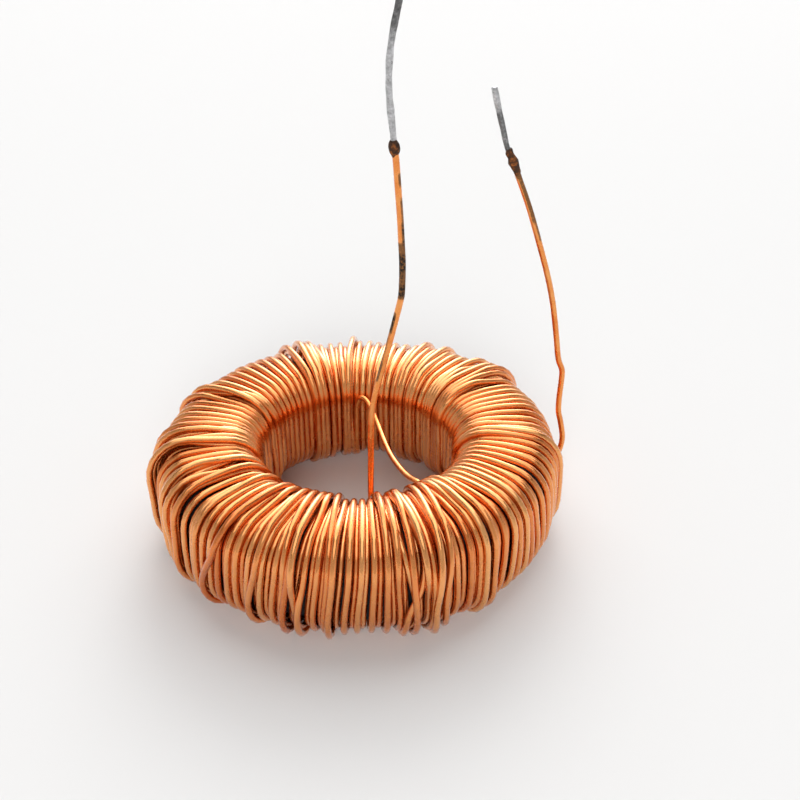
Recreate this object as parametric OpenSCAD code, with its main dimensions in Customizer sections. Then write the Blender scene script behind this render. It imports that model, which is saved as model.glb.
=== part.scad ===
// Toroidal inductor: a ring core wound with one enamelled copper wire in two rows.
// The ring lies flat with its axis on Z and the underside of the winding at z = 0.

/* [Core] */
// Outer diameter of the bare core
core_od = 31; // [26:0.5:40]
// Inner diameter of the bare core
core_id = 18; // [15:0.5:20]
// Height of the bare core
core_h = 7; // [5:0.5:12]
// Rounding of the core's four edges
core_edge_r = 1.8; // [1:0.1:2.2]

/* [Wire] */
// Diameter of the wire over its enamel
wire_d = 0.51; // [0.45:0.01:0.65]
// Air between a turn and its neighbours
turn_gap = 0.05; // [0.03:0.01:0.1]

/* [Winding] */
// Angle round the ring at which the first turn goes down the bore
start_angle = 92; // [80:1:110]
// Angle round the ring at which the last turn leaves the second row
finish_angle = 3; // [-10:1:20]

/* [Leads] */
// Angle round the bore at which the start lead comes up
start_lead_angle = -81; // [-100:1:-70]
// Angle round the bore at which the slack strand rises
slack_angle = -49; // [-60:1:-40]
// Height of the loop at the foot of the start lead
loop_h = 2.4; // [1.5:0.1:3]
// Depth of the slack strand's ends below the top of the winding
slack_drop = 1.9; // [1.5:0.1:2.5]
// Sag of the slack strand across the bore
slack_sag = 0.9; // [0.3:0.1:1.5]
// Tightest bend in the leads
lead_bend_r = 1.4; // [1:0.1:1.6]
// Easy bend in the leads
lead_easy_r = 4; // [3:0.5:5]

/* [Tinned ends] */
// Diameter of the stripped and tinned wire
tin_d = 0.5; // [0.4:0.01:0.6]
// Straight length of tin above each burnt collar
tin_straight = 3.6; // [2:0.1:5]
// Length of a collar of burnt enamel
collar_l = 1.5; // [1:0.1:2.5]
// Widest diameter of a collar of burnt enamel
collar_d = 0.86; // [0.75:0.01:1.2]
// Air between a collar and the wire in it
collar_gap = 0.01; // [0.01:0.005:0.03]

/* [Hidden] */
$fn = 72;

copper = "#c7773f";
tin = "#8d9196";
burnt = "#3a2013";
ferrite = "#26262a";

// A bend is this much stouter than the straights that run into it
bend_swell = 0.01;
// How far a straight runs into a bend
bend_overlap = 0.05;

// Rows lie one on the other, each a wire and its air further out from the core
rows = 2;
row_step = wire_d + turn_gap;
core_z = rows * row_step;
wound_h = core_h + 2 * core_z;
middle_z = wound_h / 2;

function stand_off(row) = row * row_step - wire_d / 2;
function r_inner(row) = core_id / 2 - stand_off(row);
function r_outer(row) = core_od / 2 + stand_off(row);
function z_low(row) = core_z - stand_off(row);
function z_high(row) = core_z + core_h + stand_off(row);
function row_bend(row) = core_edge_r + stand_off(row);
function step_angle(row) = 360 * row_step / (2 * PI * r_inner(row));
function polar(r, angle, z) = [r * cos(angle), r * sin(angle), z];
function unit(v) = v / norm(v);
function bend_angle(u, v) = acos(max(-1, min(1, u * v)));

// The first row goes once round; the second starts past the first turn and ends at the finish lead
first_turns = floor(360 / step_angle(1));
first_pitch = 360 / first_turns;
climb_angle = start_angle + 360 - first_pitch / 2;
second_start = start_angle + 360 + 1.5 * step_angle(2);
second_end = finish_angle + 720 - (finish_angle + 360 > second_start ? 360 : 0);
second_turns = floor((second_end - second_start) / step_angle(2) + 0.5) - 1;
second_pitch = (second_end - second_start) / (second_turns + 0.5);

// One turn: down the bore, out below, up the outside and in over the top
function turn(row, angle, pitch) = [
  polar(r_inner(row), angle, z_low(row)),
  polar(r_outer(row), angle + pitch / 2, z_low(row)),
  polar(r_outer(row), angle + pitch / 2, z_high(row)),
  polar(r_inner(row), angle + pitch, z_high(row))
];

// The last turn of the first row climbs to the second row below the ring
climb_from = climb_angle - first_pitch / 2;
first_route = concat(
  [polar(r_inner(1), start_angle, middle_z)],
  [for (i = [0 : first_turns - 2]) each turn(1, start_angle + i * first_pitch, first_pitch)],
  [polar(r_inner(1), climb_from, z_low(1)), polar(r_outer(2), climb_angle, z_low(2)),
    polar(r_outer(2), climb_angle, middle_z)]
);
second_route = concat(
  [polar(r_outer(2), climb_angle, middle_z), polar(r_outer(2), climb_angle, z_high(2)),
    polar(r_inner(2), second_start, z_high(2))],
  [for (i = [0 : second_turns - 1]) each turn(2, second_start + i * second_pitch, second_pitch)],
  [polar(r_inner(2), second_end - second_pitch / 2, z_low(2)), polar(r_outer(2), second_end, z_low(2)),
    polar(r_outer(2), second_end, middle_z)]
);

// The start lead lies against the second row, loops low in the bore and crosses it slack to the first turn
r_lead = r_inner(rows) - row_step;
start_foot = polar(r_lead, start_lead_angle, 0);
slack_near = polar(r_lead, slack_angle, wound_h - slack_drop);
slack_far = polar(r_inner(1), start_angle, wound_h - slack_drop);
slack_middle = (slack_near + slack_far) / 2 - [0, 0, slack_sag];
finish_foot = polar(r_outer(2), finish_angle, 0);

// Bends of each lead above the ring, across and up from its foot at the top of the winding
start_bends = [[0.2, 6.3], [2.6, 16.3], [2.65, 18.9], [2.2, 27]];
finish_bends = [[0.5, -1.6], [0.2, 1.4], [0.35, 4.5], [-0.3, 8.2], [-1.35, 13.2], [-4.35, 22.4]];
// From the last straight of tin to the cut end
start_tip = [[0.1, 2.3], [1.1, 7.6]];
finish_tip = [[-0.5, 2.6]];

function above(foot, offset) = foot + [offset[0], 0, wound_h + offset[1]];
function last(list, back = 1) = list[len(list) - back];

start_route = concat(
  [for (b = [len(start_bends) - 1 : -1 : 0]) above(start_foot, start_bends[b])],
  [start_foot + [0, 0, loop_h], polar(r_lead, slack_angle, loop_h), slack_near, slack_middle,
    slack_far, polar(r_inner(1), start_angle, middle_z)]
);
finish_route = concat(
  [finish_foot + [0, 0, middle_z]],
  [for (b = finish_bends) above(finish_foot, b)]
);

// A tinned end goes straight on from its lead, then follows its own bends
start_joint = above(start_foot, last(start_bends));
finish_joint = above(finish_foot, last(finish_bends));
start_out = unit(start_joint - above(start_foot, last(start_bends, 2)));
finish_out = unit(finish_joint - above(finish_foot, last(finish_bends, 2)));
start_tin = start_joint + tin_straight * start_out;
finish_tin = finish_joint + tin_straight * finish_out;
function tin_bends(from, tip) = [for (t = tip) from + [t[0], 0, t[1]]];
start_tin_route = concat([start_joint, start_tin], tin_bends(start_tin, start_tip));
finish_tin_route = concat([finish_joint, finish_tin], tin_bends(finish_tin, finish_tip));

// Turns its children's Z axis to the direction v and sets them at a
module along(a, v) {
  translate(a)
    rotate([0, acos(v[2] / norm(v)), atan2(v[1], v[0])])
      children();
}

// A quarter or part of a ring of wire that turns from direction u to v at the corner p
module wire_bend(p, u, v, r, d) {
  angle = bend_angle(u, v);
  inward = unit(v - (v * u) * u);
  centre = p - r * tan(angle / 2) * u + r * inward;
  side = cross(-inward, u);
  multmatrix([
    [-inward[0], u[0], side[0], centre[0]],
    [-inward[1], u[1], side[1], centre[1]],
    [-inward[2], u[2], side[2], centre[2]]
  ])
    rotate_extrude(angle = angle)
      translate([r, 0])
        circle(d = d);
}

// A round wire along a route of corners, with one bend radius for each corner
module bent_wire(route, bends, d) {
  end = len(route) - 1;
  ways = [for (i = [0 : end - 1]) unit(route[i + 1] - route[i])];
  trims = [for (i = [0 : end]) i == 0 || i == end ? 0
    : bends[i] * tan(bend_angle(ways[i - 1], ways[i]) / 2) - bend_overlap];
  for (i = [0 : end - 1]) {
    from = route[i] + trims[i] * ways[i];
    to = route[i + 1] - trims[i + 1] * ways[i];
    along(from, ways[i]) cylinder(d = d, h = norm(to - from));
  }
  for (i = [1 : end - 1])
    wire_bend(route[i], ways[i - 1], ways[i], bends[i], d + 2 * bend_swell);
}

// A ring's section with round corners, its lower left corner at the origin
module rounded_section(w, h, r) {
  translate([r, 0]) square([w - 2 * r, h]);
  translate([0, r]) square([w, h - 2 * r]);
  for (x = [r, w - r], y = [r, h - r])
    translate([x, y]) circle(r);
}

// A spindle of charred enamel round the wire, bored to clear it
module collar() {
  bore_r = max(wire_d, tin_d) / 2 + bend_swell + collar_gap;
  lip_r = bore_r + (collar_d / 2 - bore_r) / 3;
  rotate_extrude()
    polygon([
      [bore_r, -collar_l / 2], [lip_r, -collar_l / 2], [collar_d / 2, -collar_l / 8],
      [collar_d / 2, collar_l / 8], [lip_r, collar_l / 2], [bore_r, collar_l / 2]
    ]);
}

module ring_core() {
  color(ferrite)
    translate([0, 0, core_z])
      rotate_extrude()
        translate([core_id / 2, 0])
          rounded_section((core_od - core_id) / 2, core_h, core_edge_r);
}

module first_row() {
  climb = len(first_route) - 2;
  bends = [for (i = [0 : len(first_route) - 1]) row_bend(i < climb ? 1 : 2)];
  color(copper) bent_wire(first_route, bends, wire_d);
}

module second_row() {
  bends = [for (p = second_route) row_bend(2)];
  color(copper) bent_wire(second_route, bends, wire_d);
}

module start_lead() {
  easy = len(start_bends);
  bends = [for (i = [0 : len(start_route) - 1]) i < easy || start_route[i] == slack_middle
    ? lead_easy_r : lead_bend_r];
  color(copper) bent_wire(start_route, bends, wire_d);
}

module finish_lead() {
  bends = [for (p = finish_route) lead_easy_r];
  color(copper) bent_wire(finish_route, bends, wire_d);
}

module start_tinned_end() {
  bends = [for (p = start_tin_route) lead_easy_r];
  color(tin) bent_wire(start_tin_route, bends, tin_d);
}

module finish_tinned_end() {
  bends = [for (p = finish_tin_route) lead_easy_r];
  color(tin) bent_wire(finish_tin_route, bends, tin_d);
}

module start_burnt_enamel() {
  color(burnt) along(start_joint, start_out) collar();
}

module finish_burnt_enamel() {
  color(burnt) along(finish_joint, finish_out) collar();
}

ring_core();
first_row();
second_row();
start_lead();
finish_lead();
start_tinned_end();
finish_tinned_end();
start_burnt_enamel();
finish_burnt_enamel();
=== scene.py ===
"""A toroidal inductor: enamelled copper wire wound by hand in two rows round a ferrite ring."""
import math
import random

import bpy
import numpy as np
from mathutils import Matrix, Vector, noise


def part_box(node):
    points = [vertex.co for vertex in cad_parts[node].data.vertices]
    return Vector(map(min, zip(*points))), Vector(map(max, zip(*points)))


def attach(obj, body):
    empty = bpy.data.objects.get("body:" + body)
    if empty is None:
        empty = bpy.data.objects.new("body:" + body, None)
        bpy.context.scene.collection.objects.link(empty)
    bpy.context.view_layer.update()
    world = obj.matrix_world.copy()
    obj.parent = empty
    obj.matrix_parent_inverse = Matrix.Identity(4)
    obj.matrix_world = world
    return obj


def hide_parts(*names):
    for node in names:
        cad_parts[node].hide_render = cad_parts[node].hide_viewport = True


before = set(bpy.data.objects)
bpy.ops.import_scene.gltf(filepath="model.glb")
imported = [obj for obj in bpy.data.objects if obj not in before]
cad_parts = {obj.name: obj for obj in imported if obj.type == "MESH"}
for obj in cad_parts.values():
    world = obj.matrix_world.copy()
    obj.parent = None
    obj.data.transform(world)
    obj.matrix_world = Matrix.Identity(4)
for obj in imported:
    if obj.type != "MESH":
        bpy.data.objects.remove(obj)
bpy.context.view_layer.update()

# Lengths of the object are in millimetres and become metres where a piece is made
MM = 0.001

# The ring core, read from the frame, with its bore and the rounding of its edges
core_low, core_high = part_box("ring_core")
CORE_OUTER_R = core_high.x / MM
CORE_LOW = core_low.z / MM
CORE_HIGH = core_high.z / MM
CORE_BORE_R = 9.0
CORE_EDGE_R = 1.8

# The wire in the winding and in the leads, and the setting that gives it twelve sides
WIRE_D = 0.54
WIRE_R = WIRE_D / 2
LEAD_R = 0.235
WIRE_SIDES_RESOLUTION = 4
# Points closer than this, in metres, are one point
WELD = 0.000001

# How far the middle of the first row stands off the core
FIRST_STAND_OFF = 0.305
# Wires whose middles are closer than this lie on each other
CONTACT = 0.49
# Least lift of the second row over the first, and about how much more a turn may have
SECOND_LIFT = 0.30
LIFT_WANDER = 0.07
# How far the stiff wire bows out between the core's edges
BOW = 0.26
# The most that a turn's middle stands off the core in the bore, and how much more at each sample out of it
BORE_HIGHEST = 1.0
BORE_EASING = 0.06
# The core faces down, towards the table, where its normal points down by more than this
FACES_DOWN = 0.3

# Places for turns round the bore, counted from the angle in degrees where the start lead goes down to the
# first row. The first row is half a place on, so the second row's turns lie in its grooves
TURN_PLACES = 97
PITCH = 360 / TURN_PLACES
LEAD_ANGLE = 92.0
FIRST_ROW_SHIFT = 0.5
SECOND_PLACES = range(-22, 74)
# The angle at which the last turn comes up the outside
SECOND_END = 363.0

# How uneven the hand winding is, as shares of the pitch: in the bore, and outside by turns and by groups
BORE_WANDER = 0.05
OWN_WANDER = 0.065
SHARED_WANDER = 0.40
LEAN_GROUPS = 24
WINDING_SEED = 7
# A gap on the outside gets an extra turn if it is this wide, in degrees, and this far from another such gap
WIDE_GAP = 2.3
FILLER_SPACING = 6.0

# Samples round one turn, from the middle of the bore's wall down, out, up and back over the top
HALF_WALL_SAMPLES = 3
CORNER_SAMPLES = 6
FLAT_SAMPLES = 6
CORNERS = 4
FACES_OUT_OF_BORE = 3
TURN_SAMPLES = 2 * HALF_WALL_SAMPLES + CORNERS * CORNER_SAMPLES + FACES_OUT_OF_BORE * FLAT_SAMPLES
# Where a turn leaves the bore's wall, meets the outside, leaves it and meets the bore's wall again
LEAVES_BORE = HALF_WALL_SAMPLES
MEETS_OUTSIDE = LEAVES_BORE + 2 * CORNER_SAMPLES + FLAT_SAMPLES
LEAVES_OUTSIDE = MEETS_OUTSIDE + FLAT_SAMPLES
MIDDLE_OUTSIDE = (MEETS_OUTSIDE + LEAVES_OUTSIDE) // 2
MEETS_BORE = LEAVES_OUTSIDE + 2 * CORNER_SAMPLES + FLAT_SAMPLES
# Samples to either side over which stiff wire evens out its turns, and the passes that pull it taut
STIFF_SAMPLES = 7
TAUT_PASSES = 10

# Extra turns of the second row that lie askew over their neighbours or close a gap: the angle at which they
# come to the bore, and their places high and low on the outside
ASKEW_TURNS = [
    (238.0, 232.0, 223.5),
    (247.5, 245.0, 240.0),
    (286.0, 289.5, 282.5),
    (299.0, 292.0, 289.5),
    (203.0, 209.0, 212.0),
    (150.0, 157.0, 160.0),
    (97.5, 91.0, 88.5),
    (30.0, 36.0, 42.0),
    (278.5, 284.6, 287.4),
    (303.5, 295.0, 292.8),
    (224.5, 222.7, 221.8),
    (256.0, 254.5, 254.4),
    (311.0, 309.4, 308.6),
    (6.0, 5.2, 4.9),
    (40.5, 40.0, 39.2),
    (107.0, 107.3, 106.9),
    (191.5, 190.6, 191.2),
    (182.5, 182.5, 182.2),
    (34.0, 33.6, 33.4),
]


def ring_section():
    """Points of the core's section with their outward normals, as rows of r, z, normal r, normal z."""
    inner = CORE_BORE_R
    outer = CORE_OUTER_R
    low = CORE_LOW
    high = CORE_HIGH
    edge = CORE_EDGE_R
    middle = (low + high) / 2
    inwards = (-1.0, 0.0)
    outwards = (1.0, 0.0)
    downwards = (0.0, -1.0)
    upwards = (0.0, 1.0)
    rows = []

    def flat(start, end, normal, samples):
        for step in range(samples):
            share = step / samples
            r = start[0] + (end[0] - start[0]) * share
            z = start[1] + (end[1] - start[1]) * share
            rows.append((r, z) + normal)

    def corner(centre, from_angle):
        for step in range(CORNER_SAMPLES):
            angle = math.radians(from_angle + 90 * step / CORNER_SAMPLES)
            normal = (math.cos(angle), math.sin(angle))
            rows.append((centre[0] + edge * normal[0], centre[1] + edge * normal[1]) + normal)

    flat((inner, middle), (inner, low + edge), inwards, HALF_WALL_SAMPLES)
    corner((inner + edge, low + edge), 180)
    flat((inner + edge, low), (outer - edge, low), downwards, FLAT_SAMPLES)
    corner((outer - edge, low + edge), 270)
    flat((outer, low + edge), (outer, high - edge), outwards, FLAT_SAMPLES)
    corner((outer - edge, high - edge), 0)
    flat((outer - edge, high), (inner + edge, high), upwards, FLAT_SAMPLES)
    corner((inner + edge, high - edge), 90)
    flat((inner, high - edge), (inner, middle), inwards, HALF_WALL_SAMPLES)
    return np.array(rows)


SECTION_R, SECTION_Z, NORMAL_R, NORMAL_Z = ring_section().T


def shorter_way(angles):
    """Angles in degrees as the shorter way round, from -180 to 180."""
    return np.mod(angles + 180, 360) - 180


def same_round(angle, other):
    """An angle in degrees with as many whole rounds added as bring it close to another."""
    return angle + 360 * round((other - angle) / 360)


def row_angles(bore, low, high):
    """Angles of a row's turns at every sample, from their places in the bore and on the outside."""
    turns = len(low)
    at = []
    angle = []
    for turn in range(turns):
        first = turn * TURN_SAMPLES
        at += [first, first + LEAVES_BORE, first + MEETS_OUTSIDE, first + LEAVES_OUTSIDE, first + MEETS_BORE]
        angle += [bore[turn], bore[turn], low[turn], high[turn], bore[turn + 1]]
    straight = np.interp(np.arange(turns * TURN_SAMPLES), at, angle)
    # Stiff wire turns gently, so each place is averaged with those near it
    window = np.hanning(2 * STIFF_SAMPLES + 1)
    padded = np.pad(straight, STIFF_SAMPLES, mode="reflect", reflect_type="odd")
    return np.convolve(padded, window / window.sum(), mode="valid").reshape(turns, TURN_SAMPLES)


def bow_of_section():
    """How far each sample bows out: nothing on the bore's wall, most in the middle of the other faces."""
    face = CORNER_SAMPLES + FLAT_SAMPLES
    at = np.arange(TURN_SAMPLES) - LEAVES_BORE - CORNER_SAMPLES / 2
    bow = np.sin(math.pi * np.clip(at, 0, FACES_OUT_OF_BORE * face) / face) ** 2
    return BOW * bow


def taut(height):
    """Lets a stiff wire bridge the hollows between the places that it rests on."""
    for _ in range(TAUT_PASSES):
        padded = np.pad(height, 1, mode="edge")
        height = np.maximum(height, (padded[:-2] + padded[2:]) / 2)
    return height


def eased(height):
    """Rounds off the places where a wire's height changes its slope."""
    padded = np.pad(height, 1, mode="edge")
    return (padded[:-2] + 2 * padded[1:-1] + padded[2:]) / 4


class Winding:
    """Turns laid one after the other, each resting on the core or on the turns below it."""

    def __init__(self):
        self.angles = np.empty((0, TURN_SAMPLES))
        self.heights = np.empty((0, TURN_SAMPLES))
        self.reach = SECTION_R + NORMAL_R * FIRST_STAND_OFF
        # Below the ring a turn goes no lower than the table
        down = np.clip(-NORMAL_Z, FACES_DOWN, None)
        above_table = np.where(NORMAL_Z < -FACES_DOWN, (SECTION_Z - WIRE_R) / down, np.inf)
        # In the crowded bore an extra turn is squeezed in between its neighbours
        sample = np.arange(TURN_SAMPLES)
        from_bore = np.clip(np.minimum(sample - LEAVES_BORE, MEETS_BORE - sample), 0, None)
        self.highest = np.minimum(above_table, BORE_HIGHEST + BORE_EASING * from_bore)

    def lay(self, angles, least):
        """Lays one turn at least that far off the core and returns its points."""
        height = np.full(TURN_SAMPLES, least) + bow_of_section()
        if len(self.angles):
            apart = np.radians(shorter_way(angles - self.angles)) * self.reach
            rise = np.sqrt(np.clip(CONTACT ** 2 - apart ** 2, 0, None))
            resting = np.where(np.abs(apart) < CONTACT, self.heights + rise, 0)
            height = np.maximum(height, resting.max(axis=0))
        height = np.minimum(eased(np.minimum(taut(height), self.highest)), self.highest)
        self.angles = np.vstack([self.angles, angles])
        self.heights = np.vstack([self.heights, height])
        radius = SECTION_R + NORMAL_R * height
        up = SECTION_Z + NORMAL_Z * height
        turned = np.radians(angles)
        return np.column_stack([radius * np.cos(turned), radius * np.sin(turned), up])


def wander(draws, count, share):
    """Uneven steps, one for each turn of a row."""
    return share * np.array([draws.gauss(0, 1) for _ in range(count)])


class Lean:
    """How far the turns lean to one side as groups, shared by both rows so that they stay nested."""

    def __init__(self, draws):
        steps = np.array([draws.gauss(0, 1) for _ in range(LEAN_GROUPS)])
        self.groups = np.append(steps, steps[0])

    def at(self, angles):
        share = np.mod(angles, 360) / 360 * LEAN_GROUPS
        return SHARED_WANDER * np.interp(share, np.arange(LEAN_GROUPS + 1), self.groups)


def bore_places(draws, places):
    """Angles in the bore of a row's places, each a little off."""
    return LEAD_ANGLE + PITCH * (places + wander(draws, len(places), BORE_WANDER))


def outside_places(draws, bore, lean):
    """Places on the outside for the turns that leave each place in the bore but the last."""
    middle = bore[:-1] + PITCH / 2
    return middle + PITCH * (lean.at(middle) + wander(draws, len(middle), OWN_WANDER))


def widest_gaps(places):
    """The middles of the widest gaps between turns on the outside, none close to another."""
    places = np.sort(np.mod(places, 360))
    gaps = np.diff(np.append(places, places[0] + 360))
    middles = places + gaps / 2
    chosen = []
    for gap in np.argsort(-gaps):
        if gaps[gap] > WIDE_GAP and all(abs(middles[gap] - other) > FILLER_SPACING for other in chosen):
            chosen.append(middles[gap])
    return chosen


def gap_fillers(outside, low_lean, high_lean):
    """Extra turns in the widest gaps between places on the outside, leaning as their neighbours do."""
    fillers = []
    for angle in widest_gaps(outside):
        lean = PITCH / 2 * (high_lean.at(angle) - low_lean.at(angle))
        fillers.append((angle, angle + lean, angle - lean))
    return fillers


def first_row_turns(draws, winding, low_lean, high_lean):
    """The first row: one turn from each place, once round the core."""
    bore = bore_places(draws, np.arange(TURN_PLACES + 1) + FIRST_ROW_SHIFT)
    low = outside_places(draws, bore, low_lean)
    high = outside_places(draws, bore, high_lean)
    return [winding.lay(angles, FIRST_STAND_OFF) for angles in row_angles(bore, low, high)]


def second_row_turns(draws, winding, low_lean, high_lean):
    """The second row over the first, with the askew turns and those that fill gaps."""
    first_outside = winding.angles[:, MIDDLE_OUTSIDE]
    bore = bore_places(draws, np.array(SECOND_PLACES))
    low = outside_places(draws, bore, low_lean)
    high = outside_places(draws, bore, high_lean)
    low[-1] = SECOND_END
    high[-1] = SECOND_END
    askew_outside = [(high_angle + low_angle) / 2 for _, high_angle, low_angle in ASKEW_TURNS]
    outside = np.concatenate([first_outside, (high + low) / 2, askew_outside])
    for bore_angle, high_angle, low_angle in ASKEW_TURNS + gap_fillers(outside, low_lean, high_lean):
        nearest = int(np.argmin(np.abs(shorter_way(bore[:-1] - bore_angle))))
        beside = bore[nearest]
        bore = np.insert(bore, nearest + 1, same_round(bore_angle, beside))
        low = np.insert(low, nearest, same_round(low_angle, beside))
        high = np.insert(high, nearest, same_round(high_angle, beside))
    lifts = FIRST_STAND_OFF + SECOND_LIFT + np.abs(wander(draws, len(low), LIFT_WANDER))
    laid = [winding.lay(angles, lift) for angles, lift in zip(row_angles(bore, low, high), lifts)]
    # The last turn stops halfway up the outside, where the finish lead takes over
    laid[-1] = laid[-1][:MIDDLE_OUTSIDE + 1]
    return laid


def deselect():
    bpy.ops.object.select_all(action="DESELECT")


def wire(name, points, radii):
    """A round wire through points in millimetres, as a mesh with smooth shading and loose end caps."""
    deselect()
    curve = bpy.data.curves.new(name, "CURVE")
    curve.dimensions = "3D"
    curve.bevel_depth = MM
    curve.bevel_resolution = WIRE_SIDES_RESOLUTION
    curve.use_fill_caps = True
    spline = curve.splines.new("POLY")
    spline.points.add(len(points) - 1)
    for point, place, radius in zip(spline.points, points, radii):
        point.co = (*(Vector(place) * MM), 1.0)
        point.radius = radius
    piece = bpy.data.objects.new(name, curve)
    bpy.context.scene.collection.objects.link(piece)
    bpy.context.view_layer.objects.active = piece
    piece.select_set(True)
    bpy.ops.object.convert(target="MESH")
    bpy.ops.object.shade_smooth()
    return piece


def ring_order(values):
    """Values along a wire in its mesh's order: the last and the first end cap, then the wire itself."""
    return [values[-1], values[0], *values]


def mark_points(piece, name, values):
    """Stores one value for each point of the wire's route on all the vertices round that point."""
    rings = np.array(ring_order(values), np.float32)
    sides = len(piece.data.vertices) // len(rings)
    stored = piece.data.attributes.new(name, "FLOAT", "POINT")
    stored.data.foreach_set("value", np.repeat(rings, sides))


def mark_sides(piece, name, route, value_at):
    """Stores a value on each vertex of a lead, from its height and how far right of the middle it lies."""
    rings = ring_order(route)
    sides = len(piece.data.vertices) // len(rings)
    stored = piece.data.attributes.new(name, "FLOAT", "POINT")
    for vertex, mark in zip(piece.data.vertices, stored.data):
        middle = rings[vertex.index // sides]
        mark.value = value_at(middle.z, (vertex.co.x / MM - middle.x) / LEAD_R)


def close_ends():
    """Joins the end caps of the wire made last to its tube."""
    bpy.ops.object.mode_set(mode="EDIT")
    bpy.ops.mesh.select_all(action="SELECT")
    bpy.ops.mesh.remove_doubles(threshold=WELD)
    bpy.ops.object.mode_set(mode="OBJECT")


def smooth_route(corners, samples):
    """A route through corner points that turns smoothly at each, as a list of points."""
    ends = [2 * corners[0] - corners[1]] + corners + [2 * corners[-1] - corners[-2]]
    route = []
    for a, b, c, d in zip(ends, ends[1:], ends[2:], ends[3:]):
        for step in range(samples):
            t = step / samples
            route.append(0.5 * (2 * b + (c - a) * t + (2 * a - 5 * b + 4 * c - d) * t * t
                                + (3 * b - 3 * c + d - a) * t ** 3))
    route.append(corners[-1])
    return route


class Field:
    """A value in a material's nodes that takes part in ordinary arithmetic."""

    def __init__(self, finish, socket):
        self.finish = finish
        self.socket = socket

    def maths(self, operation, first, second):
        return self.finish.node("ShaderNodeMath", {"operation": operation}, {0: first, 1: second})

    def __add__(self, other):
        return self.maths("ADD", self, other)

    def __radd__(self, other):
        return self.maths("ADD", other, self)

    def __sub__(self, other):
        return self.maths("SUBTRACT", self, other)

    def __rsub__(self, other):
        return self.maths("SUBTRACT", other, self)

    def __mul__(self, other):
        return self.maths("MULTIPLY", self, other)

    def __rmul__(self, other):
        return self.maths("MULTIPLY", other, self)


# A mix node names its numbers and its colours alike, so its two colours and their blend go by their places
MIX_FIRST = 6
MIX_SECOND = 7
MIX_RESULT = 2


class Finish:
    """A material: a principled shader with fixed values, and the nodes that vary it."""

    def __init__(self, name, fixed):
        self.material = bpy.data.materials.new(name)
        self.material.use_nodes = True
        self.tree = self.material.node_tree
        self.shader = self.tree.nodes["Principled BSDF"]
        for socket, value in fixed.items():
            self.shader.inputs[socket].default_value = value

    def node(self, kind, settings, inputs, output=0):
        """Adds a node, sets it up, gives its sockets values or links, and returns one of its outputs."""
        node = self.tree.nodes.new(kind)
        for setting, value in settings.items():
            if setting == "stops":
                ramp = node.color_ramp.elements
                while len(ramp) < len(value):
                    ramp.new(1.0)
                for stop, (place, colour) in zip(ramp, value):
                    stop.position = place
                    stop.color = (*colour, 1.0)
            else:
                setattr(node, setting, value)
        for socket, value in inputs.items():
            if isinstance(value, Field):
                self.tree.links.new(value.socket, node.inputs[socket])
            else:
                node.inputs[socket].default_value = value
        return Field(self, node.outputs[output])

    def feed(self, socket, value):
        self.tree.links.new(value.socket, self.shader.inputs[socket])

    def place(self):
        return self.node("ShaderNodeTexCoord", {}, {}, "Object")

    def attribute(self, name):
        return self.node("ShaderNodeAttribute", {"attribute_name": name}, {}, "Fac")

    def speckle(self, where, size, detail=3.0, roughness=0.55):
        """Noise from 0 to 1 whose patches are about size millimetres across."""
        inputs = {"Vector": where, "Scale": 1 / (size * MM), "Detail": detail, "Roughness": roughness}
        return self.node("ShaderNodeTexNoise", {}, inputs, "Fac")

    def ramp(self, value, stops):
        return self.node("ShaderNodeValToRGB", {"stops": stops}, {"Fac": value}, "Color")

    def ease(self, value, low, high, to_low=0.0, to_high=1.0):
        """Goes smoothly from to_low to to_high while a value goes from low to high."""
        inputs = {"Value": value, "From Min": low, "From Max": high, "To Min": to_low, "To Max": to_high}
        return self.node("ShaderNodeMapRange", {"interpolation_type": "SMOOTHSTEP"}, inputs, "Result")

    def blend(self, share, first, second):
        inputs = {"Factor": share, MIX_FIRST: first, MIX_SECOND: second}
        return self.node("ShaderNodeMix", {"data_type": "RGBA"}, inputs, MIX_RESULT)

    def bump(self, height, depth):
        """Bump of a height from 0 to 1, depth millimetres deep."""
        inputs = {"Height": height, "Strength": 1.0, "Distance": depth * MM}
        self.feed("Normal", self.node("ShaderNodeBump", {}, inputs, "Normal"))


# Colours of the finishes, with a fourth value where they are blended
PALE_COPPER = (0.93, 0.43, 0.14)
COPPER = (0.89, 0.32, 0.08)
DEEP_COPPER = (0.76, 0.20, 0.03)
SCORCHED_COPPER = (0.20, 0.080, 0.020, 1.0)
SOOT = (0.016, 0.011, 0.008, 1.0)
BRIGHT_TIN = (0.86, 0.86, 0.87)
GREY_TIN = (0.52, 0.52, 0.53)
DULL_TIN = (0.22, 0.22, 0.22)
BLACK_TIN = (0.07, 0.07, 0.07)
BROWN_CRUST = (0.30, 0.095, 0.022)
DARK_CRUST = (0.050, 0.019, 0.007)
BLACK_CRUST = (0.012, 0.006, 0.003)
GREY_FERRITE = (0.035, 0.035, 0.038)
BLACK_FERRITE = (0.010, 0.010, 0.011)
# How strongly clear enamel bends light
ENAMEL_IOR = 1.5


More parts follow.
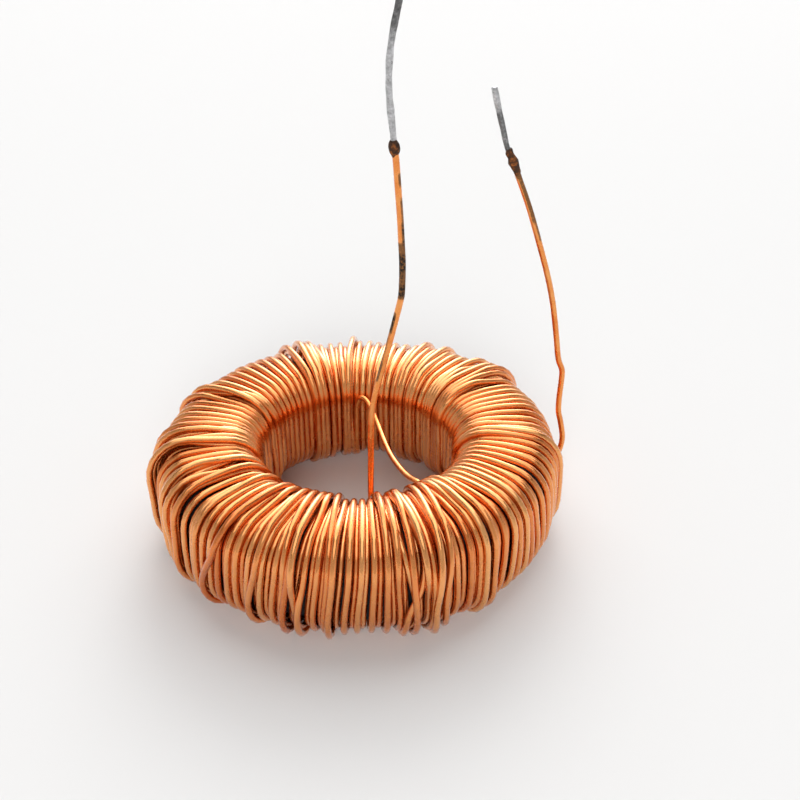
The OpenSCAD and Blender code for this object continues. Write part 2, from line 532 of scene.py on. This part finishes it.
def enamelled_copper():
    """Drawn copper under clear enamel: each turn a little darker or paler, with fine marks from winding."""
    fixed = {"Metallic": 1.0, "Coat Weight": 1.0, "Coat Roughness": 0.10, "Coat IOR": ENAMEL_IOR}
    finish = Finish("enamelled_copper", fixed)
    place = finish.place()
    turn = finish.attribute("turn_tone")
    mottle = finish.speckle(place, size=1.6)
    grain = finish.speckle(place, size=0.12, detail=2.0)
    tone = turn * 0.55 + mottle * 0.35 + grain * 0.1
    finish.feed("Base Color", finish.ramp(tone, [(0.25, DEEP_COPPER), (0.5, COPPER), (0.8, PALE_COPPER)]))
    marks = mottle + grain * 0.4
    finish.feed("Roughness", finish.ease(marks, low=0.3, high=1.0, to_low=0.18, to_high=0.34))
    finish.bump(grain, depth=0.002)
    return finish.material


def lead_copper():
    """The same wire on the leads, scorched brown and sooty where the flame reached it."""
    fixed = {"Coat Roughness": 0.15, "Coat IOR": ENAMEL_IOR, "Specular IOR Level": 0.2}
    finish = Finish("lead_copper", fixed)
    place = finish.place()
    burn = finish.attribute("burn")
    mottle = finish.speckle(place, size=1.2)
    grain = finish.speckle(place, size=0.1, detail=2.0)
    tone = mottle * 0.8 + grain * 0.2
    copper = finish.ramp(tone, [(0.3, DEEP_COPPER), (0.5, COPPER), (0.75, PALE_COPPER)])
    flecks = finish.speckle(place, size=0.22, detail=4.0, roughness=0.7)
    patchy = burn + (flecks - 0.5) * burn * burn * 4.5
    brown = finish.ease(patchy, low=0.15, high=0.45)
    black = finish.ease(patchy, low=0.5, high=0.9)
    scorched = finish.blend(brown, copper, SCORCHED_COPPER)
    finish.feed("Base Color", finish.blend(black, scorched, SOOT))
    finish.feed("Metallic", 1.0 - brown * 0.5 - black * 0.4)
    finish.feed("Coat Weight", 0.4 - black * 0.4)
    dull = mottle + patchy * 0.8
    finish.feed("Roughness", finish.ease(dull, low=0.3, high=1.3, to_low=0.22, to_high=0.7))
    finish.bump(grain + black * finish.speckle(place, size=0.08), depth=0.006)
    return finish.material


def tinned_wire():
    """Dull solder over the stripped wire, patchy and tarnished, with flux and soot left in its hollows."""
    finish = Finish("tinned_wire", {"Metallic": 1.0})
    place = finish.place()
    dull = finish.speckle(place, size=0.45)
    grain = finish.speckle(place, size=0.16, detail=4.0, roughness=0.7)
    tone = dull * 0.45 + grain * 0.55 - finish.attribute("tarnish") * 0.3
    metal = finish.ramp(tone, [(0.12, BLACK_TIN), (0.32, DULL_TIN), (0.5, GREY_TIN), (0.7, BRIGHT_TIN)])
    spots = finish.speckle(place, size=0.3, detail=5.0, roughness=0.7)
    dirt = finish.ease(spots, low=0.62, high=0.70)
    finish.feed("Base Color", finish.blend(dirt, metal, SOOT))
    finish.feed("Metallic", 1.0 - dirt * 0.8)
    finish.feed("Roughness", finish.ease(grain, low=0.3, high=0.7, to_low=0.30, to_high=0.60))
    finish.bump(dull * 0.5 + grain * 0.5, depth=0.035)
    return finish.material


def burnt_enamel():
    """Enamel charred to a brittle dark brown crust."""
    finish = Finish("burnt_enamel", {"Specular IOR Level": 0.25})
    place = finish.place()
    crust = finish.speckle(place, size=0.3, detail=5.0, roughness=0.65)
    colours = [(0.3, BLACK_CRUST), (0.5, DARK_CRUST), (0.68, BROWN_CRUST)]
    finish.feed("Base Color", finish.ramp(crust, colours))
    finish.feed("Roughness", finish.ease(crust, low=0.3, high=0.7, to_low=0.40, to_high=0.8))
    finish.bump(crust, depth=0.06)
    return finish.material


def ferrite():
    """Matt black sintered ferrite with a fine grain."""
    finish = Finish("ferrite", {})
    place = finish.place()
    grain = finish.speckle(place, size=0.15, detail=4.0)
    finish.feed("Base Color", finish.ramp(grain, [(0.35, BLACK_FERRITE), (0.7, GREY_FERRITE)]))
    finish.feed("Roughness", finish.ease(grain, low=0.3, high=0.7, to_low=0.55, to_high=0.8))
    finish.bump(grain, depth=0.02)
    return finish.material


def dress(piece, material, node):
    """Gives a finished piece its material and its place in the frame."""
    piece.data.materials.clear()
    piece.data.materials.append(material)
    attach(piece, "root")
    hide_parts(node)


copper = enamelled_copper()
lead_finish = lead_copper()
tin_finish = tinned_wire()
char_finish = burnt_enamel()


# The two rows of turns, and how the tones of their turns lie round the middle one
MIDDLE_TONE = 0.5
TONE_SPREAD = 0.2
FIRST_TONE_SEED = 11
SECOND_TONE_SEED = 12


def turn_tones(turns, seed):
    """A tone from 0 to 1 for each turn, given to all of its points."""
    draws = random.Random(seed)
    tones = []
    for turn in turns:
        tone = min(1.0, max(0.0, draws.gauss(MIDDLE_TONE, TONE_SPREAD)))
        tones.append(np.full(len(turn), tone))
    return np.concatenate(tones)


def wind_row(name, turns, node, tone_seed):
    points = np.vstack(turns)
    piece = wire(name, points, np.full(len(points), WIRE_R))
    mark_points(piece, "turn_tone", turn_tones(turns, tone_seed))
    close_ends()
    dress(piece, copper, node)


winding_draws = random.Random(WINDING_SEED)
winding = Winding()
low_lean = Lean(winding_draws)
high_lean = Lean(winding_draws)
first_row = first_row_turns(winding_draws, winding, low_lean, high_lean)
second_row = second_row_turns(winding_draws, winding, low_lean, high_lean)
wind_row("first_row_turns", first_row, "first_row", FIRST_TONE_SEED)
wind_row("second_row_turns", second_row, "second_row", SECOND_TONE_SEED)


# The leads: where each one's upright plane lies, and how many points its route has for each corner
START_Y = -7.48
FINISH_Y = 0.86
LEAD_SAMPLES = 10
# Corners across and up on each plane, from the ring to the burnt collar
START_RISE = [(1.2, 4.2), (1.22, 7.8), (1.3, 11.0), (1.38, 13.9), (1.55, 15.8), (1.98, 17.8), (2.4, 19.4),
              (2.77, 20.8), (3.28, 22.85), (3.7, 24.6), (3.82, 25.5), (3.88, 27.5), (3.82, 29.3),
              (3.75, 31.1), (3.61, 33.6), (3.53, 35.0), (3.44, 35.85)]
FINISH_RISE = [(16.36, 3.6), (16.5, 4.9), (16.86, 5.9), (17.06, 6.7), (17.08, 7.6), (16.84, 8.95),
               (16.64, 9.9), (16.62, 11.2), (16.71, 12.9), (16.69, 13.85), (16.33, 14.95), (16.02, 17.3),
               (15.59, 20.1), (15.04, 22.5), (14.21, 25.4), (13.41, 28.0), (12.65, 30.1), (12.1, 31.6)]
# From the start lead's foot: the loop low in the bore, then the slack strand up, across and down the back
LOOP_LOW = [(1.35, -7.45, 2.85), (2.2, -7.2, 2.4), (3.6, -6.65, 2.42)]
SLACK_STRAND = [(4.7, -6.1, 3.2), (5.1, -5.95, 5.4), (5.15, -6.05, 7.2), (4.95, -5.85, 7.65),
                (4.22, -4.5, 7.26), (3.51, -2.8, 6.95), (2.77, -0.6, 6.73), (2.18, 1.8, 6.63),
                (1.57, 4.4, 6.76), (0.75, 6.9, 7.2), (0.1, 7.7, 7.2), (-0.24, 7.88, 6.3), (-0.3, 7.93, 4.6),
                (-0.36, 7.95, 2.6), (-0.36, 8.3, 1.25), (-0.34, 9.3, 0.5), (-0.3, 10.5, 0.5)]
# Burns on each lead: the heights between which they lie, how dark they are, the side that they start from,
# -1 for the left and 1 for the right, and how much of the wire's width they cover
START_BURNS = [(18.3, 19.6, 0.5, -1, 0.35), (19.6, 22.2, 0.35, -1, 0.3), (22.3, 23.4, 0.75, -1, 0.4),
               (25.1, 25.8, 0.8, 1, 1.2), (25.8, 27.0, 0.6, 1, 1.2), (27.0, 28.1, 0.8, 1, 1.2),
               (28.1, 28.9, 0.5, 1, 1.2), (28.9, 30.4, 0.7, 1, 0.4), (30.4, 32.2, 0.4, 1, 0.35),
               (33.4, 33.9, 0.5, 1, 0.4)]
FINISH_BURNS = [(27.0, 31.6, 0.50, 1, 0.6), (30.6, 31.6, 0.55, 1, 0.9), (25.4, 27.0, 0.4, 1, 0.35)]
# How softly a burn fades: at its ends in millimetres, and at its edge as a share of the wire's radius
BURN_FADE = 0.5
EDGE_FADE = 0.25


def upright(places, y):
    """Points from places across and up on a lead's plane."""
    return [Vector((x, y, z)) for x, z in places]


def fade(value, low, high):
    """Goes smoothly from 0 at low to 1 at high."""
    share = min(1.0, max(0.0, (value - low) / (high - low)))
    return share * share * (3 - 2 * share)


def within(z, low, high, soft):
    """1 between two heights, fading to 0 past them."""
    return fade(z, low - soft, low) * (1 - fade(z, high, high + soft))


def burn_at(burns, z, right):
    """How burnt the wire is at a height, and from -1 to 1 across its width."""
    shares = []
    for low, high, share, side, cover in burns:
        edge = 1 - 2 * cover
        across = fade(right * side, edge - EDGE_FADE, edge + EDGE_FADE)
        shares.append(share * within(z, low, high, BURN_FADE) * across)
    return max(shares)


def lead_wire(name, corners, node, burns):
    route = smooth_route(corners, LEAD_SAMPLES)
    piece = wire(name, route, [LEAD_R] * len(route))
    mark_sides(piece, "burn", route, lambda z, right: burn_at(burns, z, right))
    close_ends()
    dress(piece, lead_finish, node)


start_down = list(reversed(upright(START_RISE, START_Y)))
start_corners = start_down + [Vector(place) for place in LOOP_LOW + SLACK_STRAND]
lead_wire("start_lead_wire", start_corners, "start_lead", START_BURNS)
lead_wire("finish_lead_wire", upright(FINISH_RISE, FINISH_Y), "finish_lead", FINISH_BURNS)


# The tinned ends: their routes, how stout and uneven the solder is, and its lumps in each millimetre
START_TIN = [(3.44, 35.85), (3.26, 38.0), (3.15, 39.6), (3.17, 41.1), (3.28, 42.4), (3.5, 43.7),
             (3.85, 45.3), (4.27, 47.4)]
FINISH_TIN = [(12.1, 31.6), (11.62, 32.7), (11.25, 34.2), (10.9, 35.6), (10.56, 37.15)]
TIN_R = 0.228
TIN_UNEVEN = 0.05
TIN_LUMPS = 0.9
# Heights between which the tin is tarnished and how much, and how softly that fades
START_TARNISH = [(44.0, 48.0, 0.75)]
FINISH_TARNISH = [(31.0, 34.8, 0.75)]
TARNISH_FADE = 1.2


def tarnish_at(stretches, z):
    """How tarnished the tin is at a height."""
    return sum(share * within(z, low, high, TARNISH_FADE) for low, high, share in stretches)


def tinned_end(name, places, y, node, tarnish):
    """A stripped end under an uneven skin of solder, cut off square."""
    route = smooth_route(upright(places, y), LEAD_SAMPLES)
    radii = [TIN_R + TIN_UNEVEN * noise.noise(point * TIN_LUMPS) for point in route]
    piece = wire(name, route, radii)
    mark_points(piece, "tarnish", [tarnish_at(tarnish, point.z) for point in route])
    close_ends()
    dress(piece, tin_finish, node)


tinned_end("start_tin", START_TIN, START_Y, "start_tinned_end", START_TARNISH)
tinned_end("finish_tin", FINISH_TIN, FINISH_Y, "finish_tinned_end", FINISH_TARNISH)


# The collars of burnt enamel: length and widest radius of each, and the radius at their ends
START_COLLAR = (1.15, 0.38)
FINISH_COLLAR = (2.1, 0.37)
COLLAR_END_R = LEAD_R * 0.95
COLLAR_STEPS = 24
# How far the lumps of the crust stand out, and how many there are in each millimetre
COLLAR_LUMP = 0.09
COLLAR_LUMPS = 2.5


def burnt_collar(name, size, lead_places, tin_places, y, node):
    """A lumpy spindle of charred enamel where the bare end begins."""
    length, widest = size
    below, joint = upright(lead_places[-2:], y)
    above = upright(tin_places, y)[1]
    along = ((joint - below).normalized() + (above - joint).normalized()).normalized()
    route = [joint + along * length * (step / COLLAR_STEPS - 0.5) for step in range(COLLAR_STEPS + 1)]
    swell = [math.sin(math.pi * step / COLLAR_STEPS) for step in range(COLLAR_STEPS + 1)]
    piece = wire(name, route, [COLLAR_END_R + (widest - COLLAR_END_R) * share for share in swell])
    close_ends()
    for vertex in piece.data.vertices:
        off = vertex.co / MM - joint
        across = off - along * off.dot(along)
        vertex.co += across.normalized() * COLLAR_LUMP * MM * noise.noise(vertex.co / MM * COLLAR_LUMPS)
    dress(piece, char_finish, node)


burnt_collar("start_char", START_COLLAR, START_RISE, START_TIN, START_Y, "start_burnt_enamel")
burnt_collar("finish_char", FINISH_COLLAR, FINISH_RISE, FINISH_TIN, FINISH_Y, "finish_burnt_enamel")

# The core keeps its own mesh
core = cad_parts["ring_core"]
core.data.materials.clear()
core.data.materials.append(ferrite())


# The pale table, in metres, and the room round it
TABLE_SIZE = 8.0
TABLE_FINISH = {"Base Color": (0.77, 0.765, 0.76, 1.0), "Roughness": 0.8, "Specular IOR Level": 0.1}
# How bright the room is low down and overhead, and between which heights it dims, from 0 at the horizon to 1
ROOM_COLOUR = (1.0, 1.0, 1.0, 1.0)
ROOM_LOW = 0.55
ROOM_ABOVE = 0.14
BRIGHT_TO = 0.5
DIM_FROM = 0.66


def pale_table():
    deselect()
    bpy.ops.mesh.primitive_plane_add(size=TABLE_SIZE, location=(0, 0, 0))
    table = bpy.context.object
    table.name = "table"
    table.data.materials.append(Finish("pale_table", TABLE_FINISH).material)


def soft_light(name, place, width, power):
    """A round lamp that faces the object, with its place and width in metres and its power in watts."""
    light = bpy.data.lights.new(name, "AREA")
    light.shape = "DISK"
    light.size = width
    light.energy = power
    lamp = bpy.data.objects.new(name, light)
    lamp.location = place
    lamp.rotation_euler = (-Vector(place)).to_track_quat("-Z", "Y").to_euler()
    bpy.context.scene.collection.objects.link(lamp)
    return lamp


def dim_room():
    """A white room that is bright low down and dim overhead."""
    world = bpy.data.worlds.new("room")
    bpy.context.scene.world = world
    world.use_nodes = True
    nodes = world.node_tree.nodes
    links = world.node_tree.links
    background = nodes["Background"]
    background.inputs["Color"].default_value = ROOM_COLOUR
    place = nodes.new("ShaderNodeTexCoord")
    split = nodes.new("ShaderNodeSeparateXYZ")
    bright = nodes.new("ShaderNodeMapRange")
    bright.inputs["From Min"].default_value = BRIGHT_TO
    bright.inputs["From Max"].default_value = DIM_FROM
    bright.inputs["To Min"].default_value = ROOM_LOW
    bright.inputs["To Max"].default_value = ROOM_ABOVE
    links.new(place.outputs["Generated"], split.inputs[0])
    links.new(split.outputs["Z"], bright.inputs["Value"])
    links.new(bright.outputs["Result"], background.inputs["Strength"])


pale_table()
# A large soft light at the back gives the wire its sheen, and a smaller, brighter one its glints
soft_light("back_light", place=(0.1, 1.38, 1.44), width=3.2, power=45.0)
soft_light("back_glint", place=(0.1, 1.72, 1.0), width=1.0, power=11.6)
# The low fill at the front lights the table and isn't seen in the wire
front_fill = soft_light("front_fill", place=(0.0, -1.8, 0.84), width=1.0, power=29.0)
front_fill.visible_glossy = False
# A card overhead is seen in the wire and doesn't light the table
top_card = soft_light("top_card", place=(0.0, -0.60, 1.90), width=2.3, power=18.4)
top_card.visible_diffuse = False
dim_room()


# The camera, as it stood for the photograph
CAMERA_TARGET = Vector((3.581, 2.341, 10.254)) * MM
CAMERA_DISTANCE = 102.69 * MM
CAMERA_NEAREST = 1.0 * MM
CAMERA_ELEVATION = math.radians(31.95)
CAMERA_ROLL = math.radians(-0.768)
CAMERA_LENS = 55.45
CAMERA_SENSOR = 36.0


def set_camera():
    backwards = Vector((0, -math.cos(CAMERA_ELEVATION), math.sin(CAMERA_ELEVATION)))
    across = Vector((1, 0, 0))
    upwards = backwards.cross(across)
    right = across * math.cos(CAMERA_ROLL) + upwards * math.sin(CAMERA_ROLL)
    up = upwards * math.cos(CAMERA_ROLL) - across * math.sin(CAMERA_ROLL)
    view = bpy.data.cameras.new("camera")
    view.lens = CAMERA_LENS
    view.sensor_width = CAMERA_SENSOR
    view.clip_start = CAMERA_NEAREST
    camera = bpy.data.objects.new("camera", view)
    turn = Matrix((right, up, backwards)).transposed().to_4x4()
    camera.matrix_world = Matrix.Translation(CAMERA_TARGET + backwards * CAMERA_DISTANCE) @ turn
    bpy.context.scene.collection.objects.link(camera)
    bpy.context.scene.camera = camera


set_camera()
bpy.context.scene.view_settings.view_transform = "Standard"
